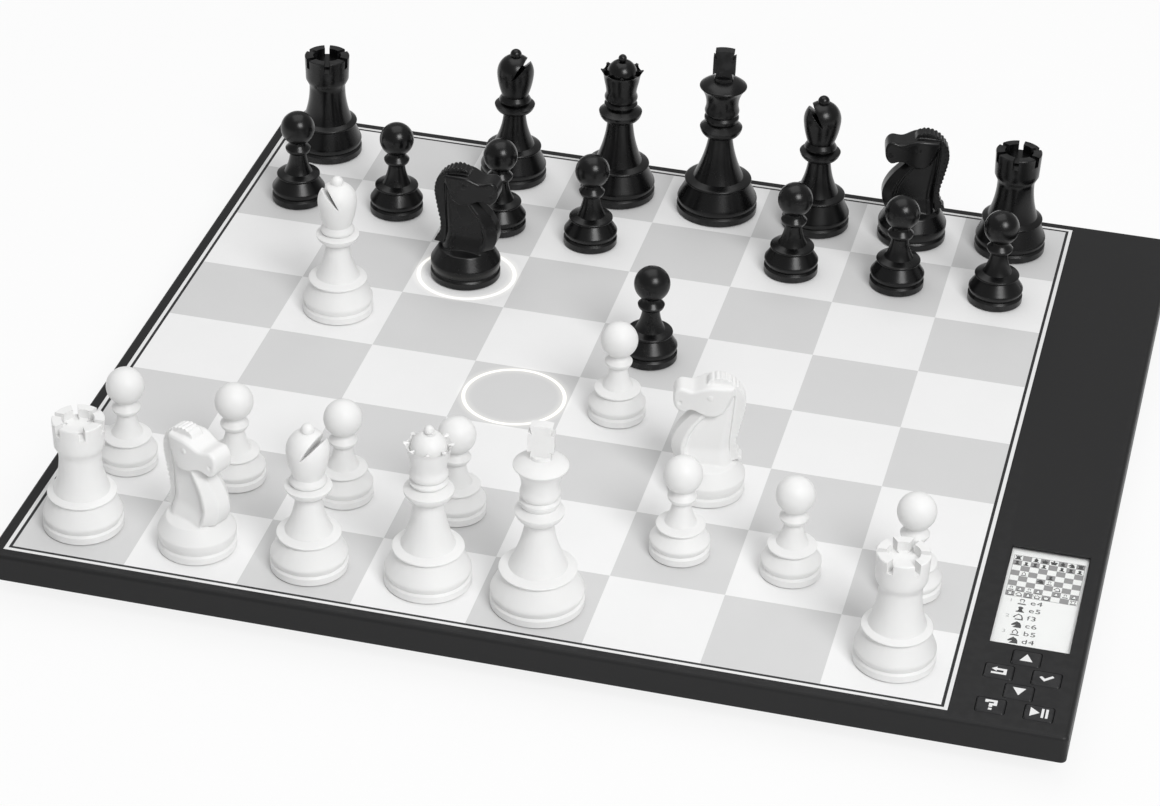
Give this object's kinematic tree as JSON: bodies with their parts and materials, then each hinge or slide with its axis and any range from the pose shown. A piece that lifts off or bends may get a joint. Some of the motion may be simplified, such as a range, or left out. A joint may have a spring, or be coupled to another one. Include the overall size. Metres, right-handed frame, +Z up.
{
  "type": "electronic chess computer",
  "caption": "Flat electronic chess computer with sensing squares, a paper-white screen, push keys on a side panel and a full set of liftable chess men in an opening position.",
  "frame": {"origin": "bottom centre of the bounding box, on the plane of the feet", "axes": "+X from the playing field to the control panel, +Y from the player to the far side, +Z up"},
  "size_m": [0.443, 0.4, 0.1073],
  "materials": {
    "case_plastic": "black satin plastic with a fine moulded grain",
    "playing_surface": "printed translucent sheet, smooth satin",
    "key_plastic": "black satin plastic with printed white symbols",
    "light_men": "satin white moulded plastic",
    "dark_men": "satin black moulded plastic",
    "window_glass": "clear flat pane",
    "screen_paper": "paper-white reflective screen",
    "foot_rubber": "soft dark rubber",
    "screw_steel": "zinc-plated steel",
    "strap_steel": "bent steel sheet",
    "shield_metal": "tinned sheet",
    "circuit_board": "green solder resist",
    "grid_plastic": "white moulded plastic",
    "light_guide": "clear moulded plastic",
    "led_body": "small light-emitting part",
    "buzzer_plastic": "black plastic can",
    "battery_wrap": "plastic film wrap",
    "cable_film": "amber film with flat conductors",
    "switch_body": "black plastic with a metal face"
  },
  "bodies": {
    "case": {"upper_case": "case_plastic", "lower_case": "case_plastic", "rubber_feet": "foot_rubber", "case_screws": "screw_steel", "small_screws": "screw_steel", "board_panel": "playing_surface", "light_grid": "grid_plastic", "ring_light_guides": "light_guide", "square_leds": "led_body", "sensor_board": "circuit_board", "main_board": "circuit_board", "processor_module": "shield_metal", "buzzer": "buzzer_plastic", "charge_socket": "shield_metal", "battery_pack": "battery_wrap", "battery_bracket": "strap_steel", "display_window": "window_glass", "epaper_display": "screen_paper", "display_bracket": "strap_steel", "flat_cables": "cable_film", "key_board": "circuit_board", "key_switches": "switch_body"},
    "key_up": {"key_up": "key_plastic"},
    "key_back": {"key_back": "key_plastic"},
    "key_ok": {"key_ok": "key_plastic"},
    "key_down": {"key_down": "key_plastic"},
    "key_help": {"key_help": "key_plastic"},
    "key_play": {"key_play": "key_plastic"},
    "white_king": {"white_king": "light_men"},
    "white_queen": {"white_queen": "light_men"},
    "white_kings_rook": {"white_kings_rook": "light_men"},
    "white_queens_rook": {"white_queens_rook": "light_men"},
    "white_kings_bishop": {"white_kings_bishop": "light_men"},
    "white_queens_bishop": {"white_queens_bishop": "light_men"},
    "white_kings_knight": {"white_kings_knight": "light_men"},
    "white_queens_knight": {"white_queens_knight": "light_men"},
    "white_pawn_a": {"white_pawn_a": "light_men"},
    "white_pawn_b": {"white_pawn_b": "light_men"},
    "white_pawn_c": {"white_pawn_c": "light_men"},
    "white_pawn_d": {"white_pawn_d": "light_men"},
    "white_pawn_e": {"white_pawn_e": "light_men"},
    "white_pawn_f": {"white_pawn_f": "light_men"},
    "white_pawn_g": {"white_pawn_g": "light_men"},
    "white_pawn_h": {"white_pawn_h": "light_men"},
    "black_king": {"black_king": "dark_men"},
    "black_queen": {"black_queen": "dark_men"},
    "black_kings_rook": {"black_kings_rook": "dark_men"},
    "black_queens_rook": {"black_queens_rook": "dark_men"},
    "black_kings_bishop": {"black_kings_bishop": "dark_men"},
    "black_queens_bishop": {"black_queens_bishop": "dark_men"},
    "black_kings_knight": {"black_kings_knight": "dark_men"},
    "black_queens_knight": {"black_queens_knight": "dark_men"},
    "black_pawn_a": {"black_pawn_a": "dark_men"},
    "black_pawn_b": {"black_pawn_b": "dark_men"},
    "black_pawn_c": {"black_pawn_c": "dark_men"},
    "black_pawn_d": {"black_pawn_d": "dark_men"},
    "black_pawn_e": {"black_pawn_e": "dark_men"},
    "black_pawn_f": {"black_pawn_f": "dark_men"},
    "black_pawn_g": {"black_pawn_g": "dark_men"},
    "black_pawn_h": {"black_pawn_h": "dark_men"}
  },
  "joints": [
    {"name": "key_up_press", "type": "slide", "parent": "case", "child": "key_up", "axis": [0, 0, -1], "range_m": [0, 0.0008], "stiffness_N_per_m": 100, "springref_m": -0.005},
    {"name": "key_back_press", "type": "slide", "parent": "case", "child": "key_back", "axis": [0, 0, -1], "range_m": [0, 0.0008], "stiffness_N_per_m": 100, "springref_m": -0.005},
    {"name": "key_ok_press", "type": "slide", "parent": "case", "child": "key_ok", "axis": [0, 0, -1], "range_m": [0, 0.0008], "stiffness_N_per_m": 100, "springref_m": -0.005},
    {"name": "key_down_press", "type": "slide", "parent": "case", "child": "key_down", "axis": [0, 0, -1], "range_m": [0, 0.0008], "stiffness_N_per_m": 100, "springref_m": -0.005},
    {"name": "key_help_press", "type": "slide", "parent": "case", "child": "key_help", "axis": [0, 0, -1], "range_m": [0, 0.0008], "stiffness_N_per_m": 100, "springref_m": -0.005},
    {"name": "key_play_press", "type": "slide", "parent": "case", "child": "key_play", "axis": [0, 0, -1], "range_m": [0, 0.0008], "stiffness_N_per_m": 100, "springref_m": -0.005},
    {"name": "white_king_lift", "type": "slide", "parent": "case", "child": "white_king", "axis": [0, 0, 1], "range_m": [0, 0.1]},
    {"name": "white_queen_lift", "type": "slide", "parent": "case", "child": "white_queen", "axis": [0, 0, 1], "range_m": [0, 0.1]},
    {"name": "white_kings_rook_lift", "type": "slide", "parent": "case", "child": "white_kings_rook", "axis": [0, 0, 1], "range_m": [0, 0.1]},
    {"name": "white_queens_rook_lift", "type": "slide", "parent": "case", "child": "white_queens_rook", "axis": [0, 0, 1], "range_m": [0, 0.1]},
    {"name": "white_kings_bishop_lift", "type": "slide", "parent": "case", "child": "white_kings_bishop", "axis": [0, 0, 1], "range_m": [0, 0.1]},
    {"name": "white_queens_bishop_lift", "type": "slide", "parent": "case", "child": "white_queens_bishop", "axis": [0, 0, 1], "range_m": [0, 0.1]},
    {"name": "white_kings_knight_lift", "type": "slide", "parent": "case", "child": "white_kings_knight", "axis": [0, 0, 1], "range_m": [0, 0.1]},
    {"name": "white_queens_knight_lift", "type": "slide", "parent": "case", "child": "white_queens_knight", "axis": [0, 0, 1], "range_m": [0, 0.1]},
    {"name": "white_pawn_a_lift", "type": "slide", "parent": "case", "child": "white_pawn_a", "axis": [0, 0, 1], "range_m": [0, 0.1]},
    {"name": "white_pawn_b_lift", "type": "slide", "parent": "case", "child": "white_pawn_b", "axis": [0, 0, 1], "range_m": [0, 0.1]},
    {"name": "white_pawn_c_lift", "type": "slide", "parent": "case", "child": "white_pawn_c", "axis": [0, 0, 1], "range_m": [0, 0.1]},
    {"name": "white_pawn_d_lift", "type": "slide", "parent": "case", "child": "white_pawn_d", "axis": [0, 0, 1], "range_m": [0, 0.1]},
    {"name": "white_pawn_e_lift", "type": "slide", "parent": "case", "child": "white_pawn_e", "axis": [0, 0, 1], "range_m": [0, 0.1]},
    {"name": "white_pawn_f_lift", "type": "slide", "parent": "case", "child": "white_pawn_f", "axis": [0, 0, 1], "range_m": [0, 0.1]},
    {"name": "white_pawn_g_lift", "type": "slide", "parent": "case", "child": "white_pawn_g", "axis": [0, 0, 1], "range_m": [0, 0.1]},
    {"name": "white_pawn_h_lift", "type": "slide", "parent": "case", "child": "white_pawn_h", "axis": [0, 0, 1], "range_m": [0, 0.1]},
    {"name": "black_king_lift", "type": "slide", "parent": "case", "child": "black_king", "axis": [0, 0, 1], "range_m": [0, 0.1]},
    {"name": "black_queen_lift", "type": "slide", "parent": "case", "child": "black_queen", "axis": [0, 0, 1], "range_m": [0, 0.1]},
    {"name": "black_kings_rook_lift", "type": "slide", "parent": "case", "child": "black_kings_rook", "axis": [0, 0, 1], "range_m": [0, 0.1]},
    {"name": "black_queens_rook_lift", "type": "slide", "parent": "case", "child": "black_queens_rook", "axis": [0, 0, 1], "range_m": [0, 0.1]},
    {"name": "black_kings_bishop_lift", "type": "slide", "parent": "case", "child": "black_kings_bishop", "axis": [0, 0, 1], "range_m": [0, 0.1]},
    {"name": "black_queens_bishop_lift", "type": "slide", "parent": "case", "child": "black_queens_bishop", "axis": [0, 0, 1], "range_m": [0, 0.1]},
    {"name": "black_kings_knight_lift", "type": "slide", "parent": "case", "child": "black_kings_knight", "axis": [0, 0, 1], "range_m": [0, 0.1]},
    {"name": "black_queens_knight_lift", "type": "slide", "parent": "case", "child": "black_queens_knight", "axis": [0, 0, 1], "range_m": [0, 0.1]},
    {"name": "black_pawn_a_lift", "type": "slide", "parent": "case", "child": "black_pawn_a", "axis": [0, 0, 1], "range_m": [0, 0.1]},
    {"name": "black_pawn_b_lift", "type": "slide", "parent": "case", "child": "black_pawn_b", "axis": [0, 0, 1], "range_m": [0, 0.1]},
    {"name": "black_pawn_c_lift", "type": "slide", "parent": "case", "child": "black_pawn_c", "axis": [0, 0, 1], "range_m": [0, 0.1]},
    {"name": "black_pawn_d_lift", "type": "slide", "parent": "case", "child": "black_pawn_d", "axis": [0, 0, 1], "range_m": [0, 0.1]},
    {"name": "black_pawn_e_lift", "type": "slide", "parent": "case", "child": "black_pawn_e", "axis": [0, 0, 1], "range_m": [0, 0.1]},
    {"name": "black_pawn_f_lift", "type": "slide", "parent": "case", "child": "black_pawn_f", "axis": [0, 0, 1], "range_m": [0, 0.1]},
    {"name": "black_pawn_g_lift", "type": "slide", "parent": "case", "child": "black_pawn_g", "axis": [0, 0, 1], "range_m": [0, 0.1]},
    {"name": "black_pawn_h_lift", "type": "slide", "parent": "case", "child": "black_pawn_h", "axis": [0, 0, 1], "range_m": [0, 0.1]}
  ]
}
